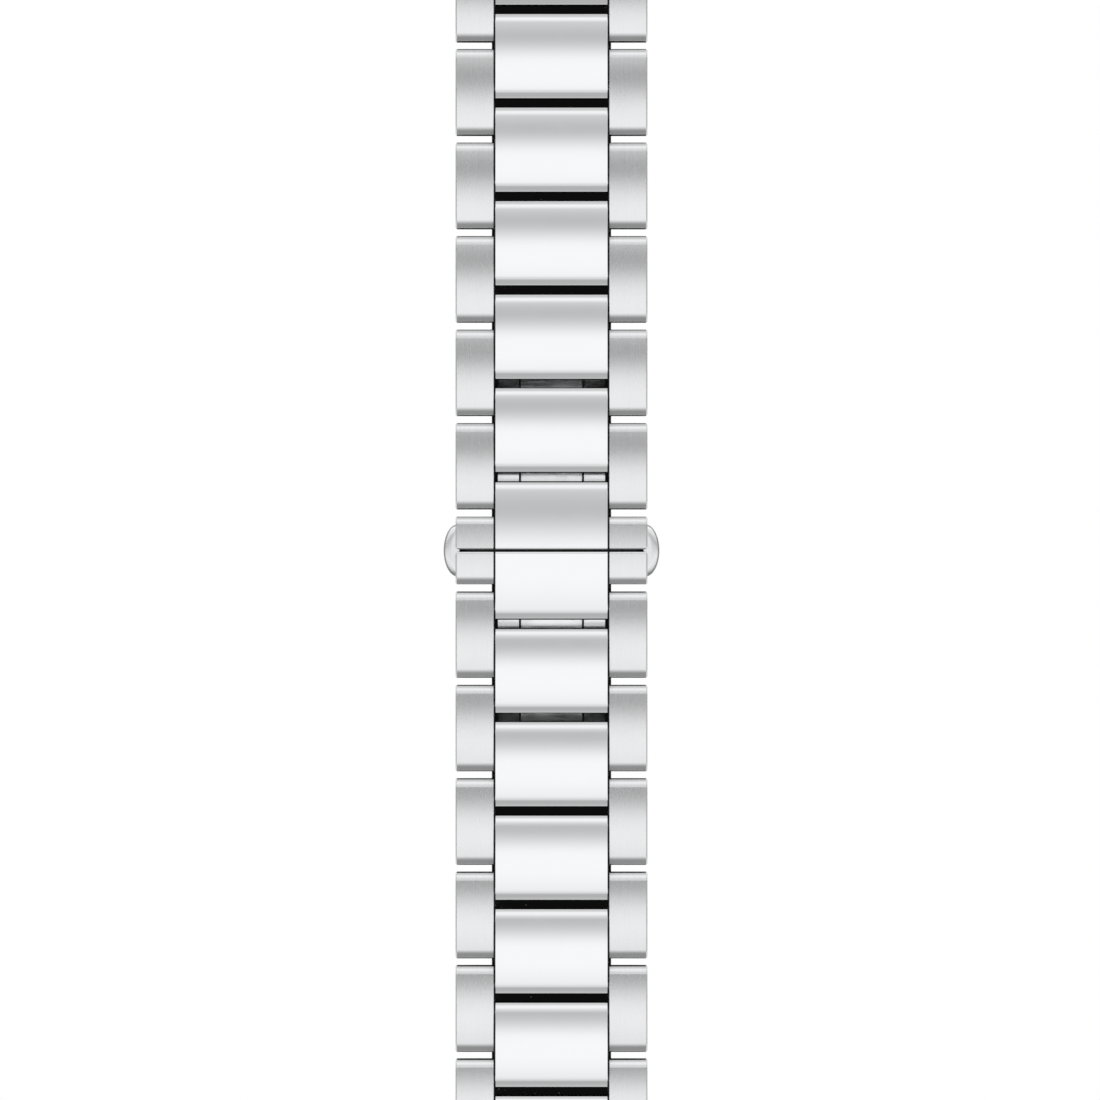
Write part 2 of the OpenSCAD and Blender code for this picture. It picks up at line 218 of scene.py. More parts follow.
def link_mesh(name, x_mid, width, y0, y1, low, top, crown_r, bevel0=END_BEVEL, bevel1=END_BEVEL,
              foot0=FOOT_R, foot1=FOOT_R, summit=None, sides=(INNER_BEVEL, INNER_BEVEL)):
    """A link block centred at x_mid, between y0 and y1 and from low to top, with its bevels
    along the left and the right side as wide as sides says."""
    edge = width / 2
    summit = (y0 + y1) / 2 if summit is None else summit
    left, right, full = [
        side_view(y0 + drop, y1 - drop, low, top, crown_r, drop, bevel0, bevel1, foot0, foot1, summit)
        for drop in (*sides, 0)]
    places = [(-edge, left), (sides[0] - edge, full), (edge - sides[1], full), (edge, right)]
    return skin(name, [(x_mid + x, line) for x, line in places])


# %% [markdown]
# ## Cutting, joining and softening
# Pin holes, slots and lugs are cut and joined with exact booleans, in millimetres, where the
# numbers are comfortable for the solver. A narrow bevel then softens every sharp edge. On steel
# this matters more than anything else: a real edge always catches a thin line of light.

# %% Helpers that work on meshes
def applied(mesh, kind, **settings):
    """The mesh with one modifier applied."""
    work = bpy.data.objects.new("work", mesh)
    bpy.context.scene.collection.objects.link(work)
    modifier = work.modifiers.new(kind.lower(), kind)
    for key, value in settings.items():
        setattr(modifier, key, value)
    depsgraph = bpy.context.evaluated_depsgraph_get()
    result = bpy.data.meshes.new_from_object(work.evaluated_get(depsgraph))
    result.name = mesh.name
    bpy.data.objects.remove(work)
    return result


def combined(mesh, other, operation):
    tool = bpy.data.objects.new("tool", other)
    bpy.context.scene.collection.objects.link(tool)
    result = applied(mesh, "BOOLEAN", operation=operation, object=tool, solver="EXACT")
    bpy.data.objects.remove(tool)
    return result


def joined(mesh, *others):
    for other in others:
        mesh = combined(mesh, other, "UNION")
    return mesh


def cut(mesh, *others):
    for other in others:
        mesh = combined(mesh, other, "DIFFERENCE")
    return mesh


def both(*meshes):
    """Several separate meshes as one."""
    whole = bmesh.new()
    for mesh in meshes:
        whole.from_mesh(mesh)
    result = bpy.data.meshes.new(meshes[0].name)
    whole.to_mesh(result)
    whole.free()
    return result


def mirrored(mesh):
    """The same piece for the other hand."""
    other = mesh.copy()
    other.transform(Matrix.Scale(-1, 4, (1, 0, 0)))
    other.flip_normals()
    return other


SOFT = 0.05
SOFT_SMALL = 0.04


def softened(mesh, width=SOFT, steps=2, angle=28):
    """Rounds the edges that are sharper than angle, and shades the rest smoothly."""
    mesh.polygons.foreach_set("use_smooth", [True] * len(mesh.polygons))
    return applied(
        mesh, "BEVEL", width=width, segments=steps, limit_method="ANGLE",
        angle_limit=math.radians(angle), harden_normals=True, use_clamp_overlap=True)


# %% Plain tools for cutting and joining
ROUND_STEPS = 64
DOME_STEPS = 4
# How far a cutting tool reaches past what it cuts, and how deep a joined part sinks in.
PAST = 1
SUNK = 0.01


def block(x, y, z):
    """A box between the two values of x, of y and of z."""
    side = [(y[0], z[0]), (y[1], z[0]), (y[1], z[1]), (y[0], z[1])]
    return skin("block", [(x[0], side), (x[1], side)])


def rod(r, x0, x1, y=0.0, z=0.0, dome=0.0):
    """A round bar along X. dome rounds its two ends off by that much."""
    def ring(radius):
        turns = [2 * math.pi * k / ROUND_STEPS for k in range(ROUND_STEPS)]
        return [(y + radius * math.cos(a), z + radius * math.sin(a)) for a in turns]

    if dome == 0:
        return skin("rod", [(x0, ring(r)), (x1, ring(r))])
    rise = [math.radians(90 * k / DOME_STEPS) for k in range(DOME_STEPS + 1)]
    near = [(x0 + dome * (1 - math.cos(a)), ring(r - dome + dome * math.sin(a))) for a in rise]
    far = [(x0 + x1 - x, line) for x, line in reversed(near)]
    return skin("rod", near + far)


# %% [markdown]
# ## Texture space that follows the grain
# Steel is brushed along the bracelet, so the textures need to know which way that is on every
# face, also on a link that slopes. Each piece gets a UV map in millimetres: U runs across the
# grain and V along it. The map is laid in the link's own frame, before the link is put in place,
# and is shifted by a random amount for each piece so that no two links show the same streaks.
# A second layer marks the walls inside the joints, where the steel recipe paints shade that makes them darker than
# the faces outside.

# %% Lay the grain map and place a piece
GRAIN_MAP = "grain"
PAINTED_SHADE_LAYER = "walls"
FACING = 0.75
LEVEL = 0.5
OUTER_RIM = 0.12
# Share of the painted joint shade that the inner sides of a link get.
SIDE_PAINTED_SHADE = 0.84
RIM_TILT = (0.05, 0.8)
MAP_SHIFT = 500
shuffle = random.Random(7)
made = []


def lay_grain(mesh):
    """Gives the mesh its grain map: U across the grain and V along it, in millimetres."""
    layer = mesh.uv_layers.get(GRAIN_MAP) or mesh.uv_layers.new(name=GRAIN_MAP)
    flat = np.zeros(len(mesh.loops) * 2)
    for face in mesh.polygons:
        n = face.normal
        for loop in face.loop_indices:
            x, y, z = mesh.vertices[mesh.loops[loop].vertex_index].co
            if abs(n.x) > FACING:
                u, v = z, y
            elif abs(n.y) > FACING:
                u, v = x, z
            else:
                u, v = x, y
            flat[2 * loop], flat[2 * loop + 1] = u, v
    layer.data.foreach_set("uv", flat)
    return mesh


def mark_walls(mesh, polished_y=(), ledge_x=None, rim=None):
    """Marks the faces that get painted shade: inside the joints the ends, slots and bores and a sunk ledge fully,
    and the inner sides a little less. Walls between the two lengths in polished_y get no painted shade, apart from
    the rounded rim at their top when rim gives its two tilts."""
    # A mark of 1 gets the full shade painted into the steel's colour, the inner sides a little less.
    layer = mesh.attributes.get(PAINTED_SHADE_LAYER) or mesh.attributes.new(PAINTED_SHADE_LAYER, "FLOAT", "FACE")
    marks = []
    for face in mesh.polygons:
        outside = abs(face.center.x) > HALF_WIDTH - OUTER_RIM
        free = polished_y and polished_y[0] < face.center.y < polished_y[1]
        on_rim = free and rim and rim[0] < face.normal.z < rim[1]
        if on_rim or (ledge_x is not None and abs(face.center.x) > ledge_x):
            marks.append(1.0)
        elif outside or free or abs(face.normal.z) > LEVEL:
            marks.append(0.0)
        else:
            marks.append(SIDE_PAINTED_SHADE if abs(face.normal.x) > LEVEL else 1.0)
    layer.data.foreach_set("value", marks)
    return mesh


def place(name, mesh, matrix, body, slot, *nodes):
    """Puts a copy of a millimetre mesh in the frame, rides it on a body and hides its CAD nodes."""
    own = mesh.copy()
    own.name = name
    own.transform(Matrix.Scale(MM, 4) @ matrix)
    layer = own.uv_layers[GRAIN_MAP]
    flat = np.zeros(len(own.loops) * 2)
    layer.data.foreach_get("uv", flat)
    flat[0::2] += shuffle.uniform(-MAP_SHIFT, MAP_SHIFT)
    flat[1::2] += shuffle.uniform(-MAP_SHIFT, MAP_SHIFT)
    layer.data.foreach_set("uv", flat)
    piece = bpy.data.objects.new(name, own)
    bpy.context.scene.collection.objects.link(piece)
    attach(piece, body)
    if nodes:
        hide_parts(*nodes)
    made.append((piece, slot))
    return piece


SIDE_TURN = {"upper": Matrix.Identity(4), "lower": Matrix.Rotation(math.pi, 4, "Z")}


def chain_place(side, i):
    """Where a piece drawn about hinge i stands in the rest pose."""
    slope = Matrix.Rotation(-tilt_after(i), 4, "X")
    return SIDE_TURN[side] @ Matrix.Translation(hinge_place(i)) @ slope


# %% [markdown]
# ## The links
# The polished centre link turns on two pins, and the two brushed outer links hold the ends of those pins. The
# outer link's holes go right through, and the pin's rounded end is seen in them just below the surface. Both
# shapes are made once and placed six times on each side. The centre link next to the clasp keeps a polished end
# wall without painted shade, so that the clasp's blades mirror light there, and only the rounded rim of that wall
# is painted dark with shade.

# %% Centre links
CENTRE_CROWN = 26.0
OUTER_CROWN = 44.0
PIN_R = 0.5
RUNNING = 0.03
WALL_ZONE = 0.3

y0, y1, low, top = centre_reach
centre_block = link_mesh("centre_link", 0, 2 * CENTRE_HALF, y0, y1, low, top, CENTRE_CROWN)
bores = [rod(PIN_R + RUNNING, -CENTRE_HALF - PAST, CENTRE_HALF + PAST, y) for y in (0, centre_span)]
centre_link = mark_walls(lay_grain(softened(cut(centre_block, *bores))))
# The first link's end wall gets no painted shade, only its rounded rim does.
first_link = mark_walls(centre_link.copy(), polished_y=(y0 - PAST, y0 + WALL_ZONE), rim=RIM_TILT)
for side in SIDE_TURN:
    for k in range(1, LINKS + 1):
        node = f"{side}_centre_link_{k}"
        mesh = first_link if k == 1 else centre_link
        where = chain_place(side, 2 * k)
        place(node + "_polished", mesh, where, f"{side}_centre_{k}", "polished_steel", node)
print("centre link", len(centre_link.polygons), "faces")

# %% Outer links and their pins
y0, y1, low, top = outer_reach
outer_block = link_mesh("outer_link", OUTER_MID, OUTER_WIDTH, y0, y1, low, top, OUTER_CROWN,
                        sides=(INNER_BEVEL, LONG_BEVEL))
bores = [rod(PIN_R, OUTER_MID - OUTER_WIDTH, OUTER_MID + OUTER_WIDTH, y) for y in (0, outer_span)]
right_link = lay_grain(softened(cut(outer_block, *bores)))
outer_pair = mark_walls(both(right_link, mirrored(right_link)))
print("outer pair", len(outer_pair.polygons), "faces")
PIN_SHORT = 0.1
PIN_DOME = 0.12
pin_half = HALF_WIDTH - PIN_SHORT
pin = lay_grain(softened(rod(PIN_R, -pin_half, pin_half, dome=PIN_DOME), steps=1, angle=60))
far_pin = pin.copy()
far_pin.transform(Matrix.Translation((0, outer_span, 0)))
pins = both(pin, far_pin)
for side in SIDE_TURN:
    for k in range(1, LINKS + 1):
        where = chain_place(side, 2 * k - 1)
        node = f"{side}_outer_links_{k}"
        place(node + "_brushed", outer_pair, where, f"{side}_outer_{k}", "brushed_steel", node)
        node = f"{side}_link_pins_{k}"
        place(node + "_ground", pins, where, f"{side}_outer_{k}", "pin_steel", node)

# %% [markdown]
# ## The clasp covers
# Each cover is a polished middle piece and two brushed side pieces, cut straight at the split.
# Underneath they are hollow over the button housings, and the middle piece carries the lug that
# turns on the arm's pin. The side pieces are as wide as a link's outer column and start at the
# split. The two covers share one crown, highest at the split, so the band of dark light lies
# further out on the upper cover than on a link, and the lower one has none.

# %% Cover centres
COVER_LOW = box_mm("upper_cover_sides")[0].z
cover_low, cover_high = box_mm("upper_cover_centre")
SPLIT_BEVEL = 0.13
COVER_CENTRE_CROWN = 42.0
COVER_SIDE_CROWN = 62.0
BEAM_SLOT = 0.85
BEAM_SLOT_TOP = 6.2
RAIL_IN = 3.4
SIDE_CLEAR = 0.12
PAD_HALF = 6.0
PAD_TOP = 6.7
PAD_OVER_PIN = 1.02
LUG_R = 0.8
NECK_SUNK = 1
LEDGE = 0.01
TOOL_HALF = 9
arm_pin = Vector(joints["upper_cover_turn"]["pos_m"]) / MM
pad_low = arm_pin.z + PAD_OVER_PIN
lug_half = RAIL_IN - SIDE_CLEAR
side_low, side_high = box_mm("upper_cover_sides")

body = link_mesh("cover_centre", 0, 2 * CENTRE_HALF, cover_low.y, cover_high.y, COVER_LOW, cover_high.z,
                 COVER_CENTRE_CROWN, SPLIT_BEVEL, foot0=0, summit=0)
pad = block((-PAD_HALF, PAD_HALF), (cover_low.y, side_high.y), (pad_low, PAD_TOP))
lug = rod(LUG_R, -lug_half, lug_half, arm_pin.y, arm_pin.z)
neck_y = (arm_pin.y - LUG_R, arm_pin.y + LUG_R)
neck = block((-lug_half, lug_half), neck_y, (arm_pin.z, COVER_LOW + NECK_SUNK))
slot = block((-TOOL_HALF, TOOL_HALF), (-PAST, BEAM_SLOT), (COVER_LOW - PAST, BEAM_SLOT_TOP))
beside = [block(x, (-PAST, cover_high.y + PAST), (COVER_LOW - PAST, pad_low))
          for x in ((-TOOL_HALF, -lug_half), (lug_half, TOOL_HALF))]
pins_at = (arm_pin, hinge_place(1))
bores = [rod(PIN_R + RUNNING, -TOOL_HALF, TOOL_HALF, at.y, at.z) for at in pins_at]
whole = cut(joined(body, pad, lug, neck), slot, *beside, *bores)
# The ledge beside the pad and the rounded rim of the end wall towards the links get painted shade; the rest of
# that wall gets none.
cover_centre = mark_walls(
    lay_grain(softened(whole, width=SOFT_SMALL)), ledge_x=CENTRE_HALF + LEDGE,
    polished_y=(cover_high.y - WALL_ZONE, cover_high.y + PAST), rim=RIM_TILT)
for side, turn in SIDE_TURN.items():
    node = f"{side}_cover_centre"
    place(node + "_polished", cover_centre, turn, f"{side}_cover", "polished_steel", node)
print("cover centre", len(cover_centre.polygons), "faces")

# %% Cover sides, with a hollow for the housing, a notch for the button and a catch
CORNER_R = 0.35
HOUSING_OUT = HALF_WIDTH - 1.1
HOUSING_CLEAR = 0.1
HOLLOW_END = 2.72
HOLLOW_TOP = 6.4
button_low, button_high = box_mm("button_right")
NOTCH_CLEAR = 0.1
CATCH_X = (HALF_WIDTH - 2.2, HALF_WIDTH - 1.7)
CATCH_Y = (0.55, 1.5)
CATCH_Z = 4.45
LIP_TOP = 4.9
LIP_X = HALF_WIDTH - 2.65
POST_HALF = 20


def rounded_corner():
    """The waste outside a rounded upright corner, for cutting it off."""
    x, y = HALF_WIDTH - CORNER_R, side_low.y + CORNER_R
    upright = Matrix.Translation((x, y, 0)) @ Matrix.Rotation(math.pi / 2, 4, "Y")
    post = rod(CORNER_R, -POST_HALF, POST_HALF)
    post.transform(upright)
    corner = block((x, HALF_WIDTH + PAST), (side_low.y - PAST, y), (COVER_LOW - PAST, side_high.z + PAST))
    return cut(corner, post)


body = link_mesh("cover_side", OUTER_MID, OUTER_WIDTH, side_low.y, side_high.y, COVER_LOW, side_high.z,
                 COVER_SIDE_CROWN, SPLIT_BEVEL, foot0=0, summit=0, sides=(INNER_BEVEL, LONG_BEVEL))
hollow = block((HALF_WIDTH - OUTER_WIDTH - PAST, HOUSING_OUT + HOUSING_CLEAR), (-PAST, HOLLOW_END),
               (COVER_LOW - PAST, HOLLOW_TOP))
notch = block((HOUSING_OUT, HALF_WIDTH + PAST), (-PAST, button_high.y + NOTCH_CLEAR),
              (button_low.z - NOTCH_CLEAR, button_high.z + NOTCH_CLEAR))
catch = block(CATCH_X, CATCH_Y, (CATCH_Z, HOLLOW_TOP + SUNK))
lip = block((LIP_X, CATCH_X[0] + SUNK), CATCH_Y, (CATCH_Z, LIP_TOP))
whole = joined(cut(body, hollow, notch, rounded_corner()), catch, lip)
right_side = mark_walls(lay_grain(softened(whole, width=SOFT_SMALL)))
cover_sides = both(right_side, mirrored(right_side))
for side, turn in SIDE_TURN.items():
    node = f"{side}_cover_sides"
    place(node + "_brushed", cover_sides, turn, f"{side}_cover", "brushed_steel", node)
print("cover sides", len(cover_sides.polygons), "faces")

# %% [markdown]
# ## The push buttons
# A button is a polished pillow, half an oval from above, with all its edges rolled over. It is drawn as a stack of
# oval slices that shrink towards the top and the bottom. A plate with two windows reaches inwards, and the covers'
# catches hook under it through those windows. Half of the painted shade of the walls is painted on the steep rim
# of the pillow, which draws its outline.

# %% Push buttons
HEAD_IN = HALF_WIDTH - 0.4
OVAL_MID = HALF_WIDTH - 0.2
HEAD_ROLL = 1.0
HEAD_DOME = 0.4
PLATE_IN = HALF_WIDTH - 3
PLATE_HALF = 2.1
PLATE_Z = (5.0, 5.8)
PLATE_SUNK = 0.05
WINDOW_X = (HALF_WIDTH - 2.3, HALF_WIDTH - 1.0)
WINDOW_Y = (0.45, 1.8)
WINDOW_Z = (4, 7)
OVAL_STEPS = 40
SLICES = 12
HEAD_EDGE_ANGLE = 40
STEEP = 0.8
# Share of the painted shade on a button's steep rim, which draws its outline.
STEEP_PAINTED_SHADE = 0.5
UPRIGHT = Matrix(((0, 1, 0, 0), (0, 0, 1, 0), (1, 0, 0, 0), (0, 0, 0, 1)))


def oval_slice(inset):
    """Half oval with a straight back, shrunk by inset, as (x, y)."""
    across, along = button_high.x - OVAL_MID - inset, button_high.y - inset
    turns = [math.radians(-90 + 180 * k / OVAL_STEPS) for k in range(OVAL_STEPS + 1)]
    line = [(OVAL_MID + across * math.cos(a), along * math.sin(a)) for a in turns]
    return [(HEAD_IN, -along)] + line + [(HEAD_IN, along)]


def pillow():
    """The head. The skin tool runs along X, so the stack of slices is turned upright after."""
    rise = [math.radians(90 * k / SLICES) for k in range(SLICES + 1)]
    dome = [(HEAD_DOME * math.sin(a), oval_slice(HEAD_ROLL * (1 - math.cos(a)))) for a in rise]
    under = [(button_low.z + HEAD_DOME - z, line) for z, line in reversed(dome)]
    mesh = skin("button_head", under + [(button_high.z - HEAD_DOME + z, line) for z, line in dome])
    mesh.transform(UPRIGHT)
    return mesh


def button_painted_shade(face):
    """How much painted shade a face carries: all inside the clasp, half on the steep rim."""
    if face.center.x < HEAD_IN:
        return 1.0
    return STEEP_PAINTED_SHADE if abs(face.normal.z) < STEEP else 0.0


plate = block((PLATE_IN, HEAD_IN + PLATE_SUNK), (-PLATE_HALF, PLATE_HALF), PLATE_Z)
windows = [block(WINDOW_X, y, WINDOW_Z) for y in (WINDOW_Y, (-WINDOW_Y[1], -WINDOW_Y[0]))]
whole = joined(pillow(), cut(plate, *windows))
button = lay_grain(softened(whole, width=SOFT_SMALL, angle=HEAD_EDGE_ANGLE))
# Shade is painted on the button's steep rim and on its parts inside the clasp.
layer = button.attributes.new(PAINTED_SHADE_LAYER, "FLOAT", "FACE")
layer.data.foreach_set("value", [button_painted_shade(face) for face in button.polygons])
for hand, turn in (("right", Matrix.Identity(4)), ("left", Matrix.Rotation(math.pi, 4, "Z"))):
    node = f"button_{hand}"
    place(node + "_pillow", button, turn, node, "polished_steel", node)
print("button", len(button.polygons), "faces")

# %% [markdown]
# ## The end links
# An end link looks like three columns but is one solid piece, so that it can hold the spring
# bar. Its ears straddle the last centre link, its far end is well rounded underneath, and its
# bore lets the spring bar through from side to side.

# %% End links
END_FOOT = 1.2
BAR_Y = end_reach[1] - 1.6
BAR_BORE = 0.95
EAR_DROP = 0.25
BODY_CLEAR = 0.85
BORE_HALF = 11
y0, y1, low, top = end_reach
ear_top = top - EAR_DROP
body_start = centre_reach[1] - centre_span + BODY_CLEAR
columns = [link_mesh("end_column", x, OUTER_WIDTH, y0, y1, low, ear_top, OUTER_CROWN, foot1=END_FOOT)
           for x in (-OUTER_MID, OUTER_MID)]
filler = link_mesh("end_filler", 0, 2 * (HALF_WIDTH - OUTER_WIDTH) + 2 * SUNK, body_start, y1, low,
                   ear_top, OUTER_CROWN, foot1=END_FOOT)
ridge = link_mesh("end_ridge", 0, 2 * CENTRE_HALF, body_start, y1 - END_BEVEL, low, top,
                  CENTRE_CROWN, foot1=END_FOOT)
bores = [rod(PIN_R, -BORE_HALF, BORE_HALF), rod(BAR_BORE, -BORE_HALF, BORE_HALF, BAR_Y)]
whole = cut(joined(filler, ridge, *columns), *bores)
end_link = mark_walls(lay_grain(softened(whole, width=SOFT_SMALL)), polished_y=(BAR_Y, y1 + PAST))
for side in SIDE_TURN:
    node = f"{side}_end_link"
    where = chain_place(side, LAST_HINGE)
    place(node + "_brushed", end_link, where, f"{side}_end", "brushed_steel", node)
print("end link", len(end_link.polygons), "faces")

# %% [markdown]
# ## The finishes
# Two effects are shared by the steels, so each is a node group of its own. Hairline grain is
# what an abrasive belt leaves: very long, very fine lines. Handling marks are the faint haze and
# the few fine scratches that even a new polished link has. Both work in millimetres.

# %% Node helpers
def group_of(name, inputs, outputs):
    """An empty shader node group with its sockets, and its input and output nodes."""
    tree = bpy.data.node_groups.new(name, "ShaderNodeTree")
    for label, kind, value in inputs:
        socket = tree.interface.new_socket(label, in_out="INPUT", socket_type=kind)
        if value is not None:
            socket.default_value = value
    for label, kind in outputs:
        tree.interface.new_socket(label, in_out="OUTPUT", socket_type=kind)
    return tree, tree.nodes.new("NodeGroupInput"), tree.nodes.new("NodeGroupOutput")


def math_node(tree, operation, *values, clamp=False):
    """A math node whose values are numbers or sockets, as its output socket."""
    node = tree.nodes.new("ShaderNodeMath")
    node.operation, node.use_clamp = operation, clamp
    for i, value in enumerate(values):
        if isinstance(value, bpy.types.NodeSocket):
            tree.links.new(value, node.inputs[i])
        else:
            node.inputs[i].default_value = value
    return node.outputs[0]


def map_range(tree, value, low, high, low_out=0.0, high_out=1.0):
    """Eases from low_out to high_out while value goes from low to high."""
    node = tree.nodes.new("ShaderNodeMapRange")
    node.interpolation_type = "SMOOTHSTEP"
    tree.links.new(value, node.inputs["Value"])
    for label, number in (("From Min", low), ("From Max", high), ("To Min", low_out), ("To Max", high_out)):
        node.inputs[label].default_value = number
    return node.outputs[0]


def stretched_noise(tree, vector, across, along, detail=2.0, rough=0.6):
    """Noise with across cells per millimetre across the grain, and along cells along it."""
    scale = tree.nodes.new("ShaderNodeCombineXYZ")
    for i, value in enumerate((across, along, 1.0)):
        if isinstance(value, bpy.types.NodeSocket):
            tree.links.new(value, scale.inputs[i])
        else:
            scale.inputs[i].default_value = value
    times = tree.nodes.new("ShaderNodeVectorMath")
    times.operation = "MULTIPLY"
    tree.links.new(vector, times.inputs[0])
    tree.links.new(scale.outputs[0], times.inputs[1])
    noise = tree.nodes.new("ShaderNodeTexNoise")
    noise.inputs["Scale"].default_value = 1.0
    noise.inputs["Detail"].default_value = detail
    noise.inputs["Roughness"].default_value = rough
    tree.links.new(times.outputs[0], noise.inputs["Vector"])
    return noise.outputs["Fac"]


# %% The group for hairline grain
FINE_ALONG = 0.11
FINE_SHARE = 0.65
BROAD_LINES = 0.3
BROAD_ALONG = 0.05

grain_group, given, out = group_of(
    "hairline_grain",
    [("Vector", "NodeSocketVector", None), ("Lines per mm", "NodeSocketFloat", 9.0),
     ("Contrast", "NodeSocketFloat", 0.1)],
    [("Tone", "NodeSocketFloat"), ("Height", "NodeSocketFloat")])
t = grain_group
fine = stretched_noise(t, given.outputs["Vector"], given.outputs["Lines per mm"], FINE_ALONG, detail=3.0)
broad_lines = math_node(t, "MULTIPLY", given.outputs["Lines per mm"], BROAD_LINES)
broad = stretched_noise(t, given.outputs["Vector"], broad_lines, BROAD_ALONG, detail=1.0)
fine_part = math_node(t, "MULTIPLY", fine, FINE_SHARE)
broad_part = math_node(t, "MULTIPLY", broad, 1 - FINE_SHARE)
height = math_node(t, "ADD", fine_part, broad_part)
swing = math_node(t, "MULTIPLY", math_node(t, "SUBTRACT", height, 0.5), given.outputs["Contrast"])
t.links.new(math_node(t, "ADD", swing, 1.0), out.inputs["Tone"])
t.links.new(height, out.inputs["Height"])
print(grain_group.name, "gives tone and height")

# %% The group for haze and fine scratches
HAZE_CELLS = (0.35, 0.25)
HAZE_START = 0.42
SCRATCH_TURN = 0.6
FIRST_SCRATCHES = (11.0, 0.35)
SECOND_SCRATCHES = (0.45, 13.0)
SCRATCH_START = 0.7
SCRATCH_GAIN = 6.0
SCRATCH_ROUGHNESS = 0.12

marks_group, given, out = group_of(
    "handling_marks",
    [("Vector", "NodeSocketVector", None), ("Haze", "NodeSocketFloat", 0.5),
     ("Scratches", "NodeSocketFloat", 0.5)],
    [("Roughening", "NodeSocketFloat"), ("Height", "NodeSocketFloat")])
t = marks_group
haze = stretched_noise(t, given.outputs["Vector"], *HAZE_CELLS, detail=3.0)
haze = math_node(t, "SUBTRACT", haze, HAZE_START, clamp=True)
haze = math_node(t, "MULTIPLY", haze, given.outputs["Haze"])
turned = t.nodes.new("ShaderNodeVectorRotate")
turned.rotation_type = "Z_AXIS"
turned.inputs["Angle"].default_value = SCRATCH_TURN
t.links.new(given.outputs["Vector"], turned.inputs["Vector"])
first_lines = stretched_noise(t, turned.outputs[0], *FIRST_SCRATCHES, detail=0.0)
second_lines = stretched_noise(t, given.outputs["Vector"], *SECOND_SCRATCHES, detail=0.0)
lines = math_node(t, "MAXIMUM", first_lines, second_lines)
lines = math_node(t, "SUBTRACT", lines, SCRATCH_START, clamp=True)
lines = math_node(t, "MULTIPLY", lines, SCRATCH_GAIN, clamp=True)
lines = math_node(t, "MULTIPLY", lines, given.outputs["Scratches"])
roughening = math_node(t, "ADD", haze, math_node(t, "MULTIPLY", lines, SCRATCH_ROUGHNESS))
t.links.new(roughening, out.inputs["Roughening"])
t.links.new(math_node(t, "MULTIPLY", lines, -1.0), out.inputs["Height"])
print(marks_group.name, "gives roughening and height")

# %% [markdown]
# ## One recipe for every steel
# All the steels are bare metal, so they differ only in colour, gloss, grain and marks. The grain spreads a
# reflection sideways and keeps it short along the lines, which is what anisotropy means: its tangent follows the U
# direction of the grain map. The upright faces inside the joints are never polished or brushed: they stay matt,
# and a dark shade painted into their colour turns every gap between two links into a dark line. On the pins,
# blades and springs the painted shade lies in the crevices instead, found by how little sky a spot still sees. The
# buttons get a softer gloss of their own, because their dome would mirror the dark band as a crease.

# %% Steel recipe
# How much of the steel's colour the painted shade takes away inside the joints and crevices.
PAINTED_SHADE_DEPTH = 0.95
WALL_ROUGHNESS = 0.3
CREVICE = 0.8
CREVICE_SKY = (0.45, 0.8)
CREVICE_RAYS = 16
GRAIN_ROUGHNESS = 0.6


def group_node(tree, group, vector, **values):
    """A shared effect placed in a material, with that material's own values."""
    node = tree.nodes.new("ShaderNodeGroup")
    node.node_tree = group
    tree.links.new(vector, node.inputs["Vector"])
    for label, value in values.items():
        node.inputs[label.replace("_", " ")].default_value = value
    return node


